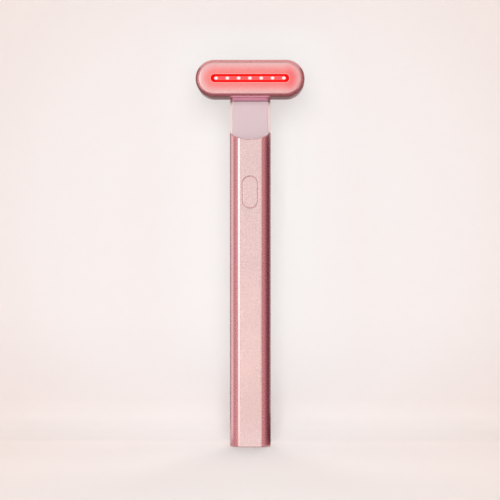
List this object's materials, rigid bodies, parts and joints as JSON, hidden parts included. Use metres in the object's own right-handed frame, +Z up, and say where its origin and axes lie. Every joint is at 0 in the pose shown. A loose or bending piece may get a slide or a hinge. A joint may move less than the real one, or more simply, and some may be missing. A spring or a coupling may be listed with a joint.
{
  "type": "red light facial wand",
  "caption": "T-shaped hand-held facial wand: slim flat-fronted handle with a flush push button, short neck and a swivelling pill-shaped head with a lit red slot.",
  "frame": {"origin": "middle of the flat bottom end of the handle, on the handle's axis", "axes": "+Z up the handle to the head, -Y out of the treatment face and the button, +X across the head to the viewer's right"},
  "size_m": [0.0464, 0.0196, 0.165],
  "materials": {
    "rose_metal": "fine bead-blasted and anodised rose, soft gloss with a fine sparkle",
    "head_metal": "anodised rose, satin",
    "plate_metal": "fine satin rose plate",
    "collar_metal": "dark rose anodised",
    "neck_satin": "smooth pale pink satin coat",
    "red_lens": "clear red moulded lens, lit from behind",
    "lamp_white": "clear moulded lamp body, lit",
    "white_plastic": "moulded white",
    "grey_plastic": "moulded grey",
    "black_plastic": "moulded black",
    "circuit_board": "green solder mask",
    "cell_wrap": "shrink film",
    "heater_film": "amber film",
    "steel": "plain steel",
    "port_steel": "drawn steel shell",
    "dark_rubber": "matt"
  },
  "bodies": {
    "handle": {"handle_tube": "rose_metal", "end_cap": "rose_metal", "charging_port_shell": "port_steel", "charging_port_tongue": "black_plastic", "port_board": "circuit_board", "chassis": "grey_plastic", "battery": "cell_wrap", "main_board": "circuit_board", "board_screw_lower": "steel", "board_screw_upper": "steel", "controller_chip": "black_plastic", "head_connector": "white_plastic", "switch_body": "black_plastic", "neck_housing": "neck_satin", "swivel_collar": "collar_metal", "friction_ring": "dark_rubber", "thrust_washer": "steel"},
    "button": {"power_button": "rose_metal", "switch_plunger": "white_plastic"},
    "head": {"retaining_nut": "steel", "swivel_pivot": "steel", "head_back_housing": "head_metal", "head_front_frame": "head_metal", "treatment_plate": "plate_metal", "heater_film": "heater_film", "light_window": "red_lens", "led_reflector": "white_plastic", "led_board": "circuit_board", "plate_contact": "steel", "head_screw_left": "steel", "head_screw_right": "steel", "motor_can": "steel", "motor_boot": "dark_rubber", "led_1": "lamp_white", "led_2": "lamp_white", "led_3": "lamp_white", "led_4": "lamp_white", "led_5": "lamp_white", "led_6": "lamp_white", "led_7": "lamp_white"},
    "motor_rotor": {"motor_shaft": "steel", "eccentric_weight": "steel"}
  },
  "joints": [
    {"name": "power_button_press", "type": "slide", "parent": "handle", "child": "button", "axis": [0, 1, 0], "range_m": [0, 0.0004], "stiffness_N_per_m": 1000, "springref_m": -0.0003},
    {"name": "head_swivel", "type": "hinge", "parent": "handle", "child": "head", "pos_m": [0, 0, 0.1491], "axis": [0, 0, 1], "range_deg": [-90, 90]},
    {"name": "motor_spin", "type": "hinge", "parent": "head", "child": "motor_rotor", "pos_m": [0.004, 0.0039, 0.15705], "axis": [1, 0, 0], "continuous": true}
  ]
}
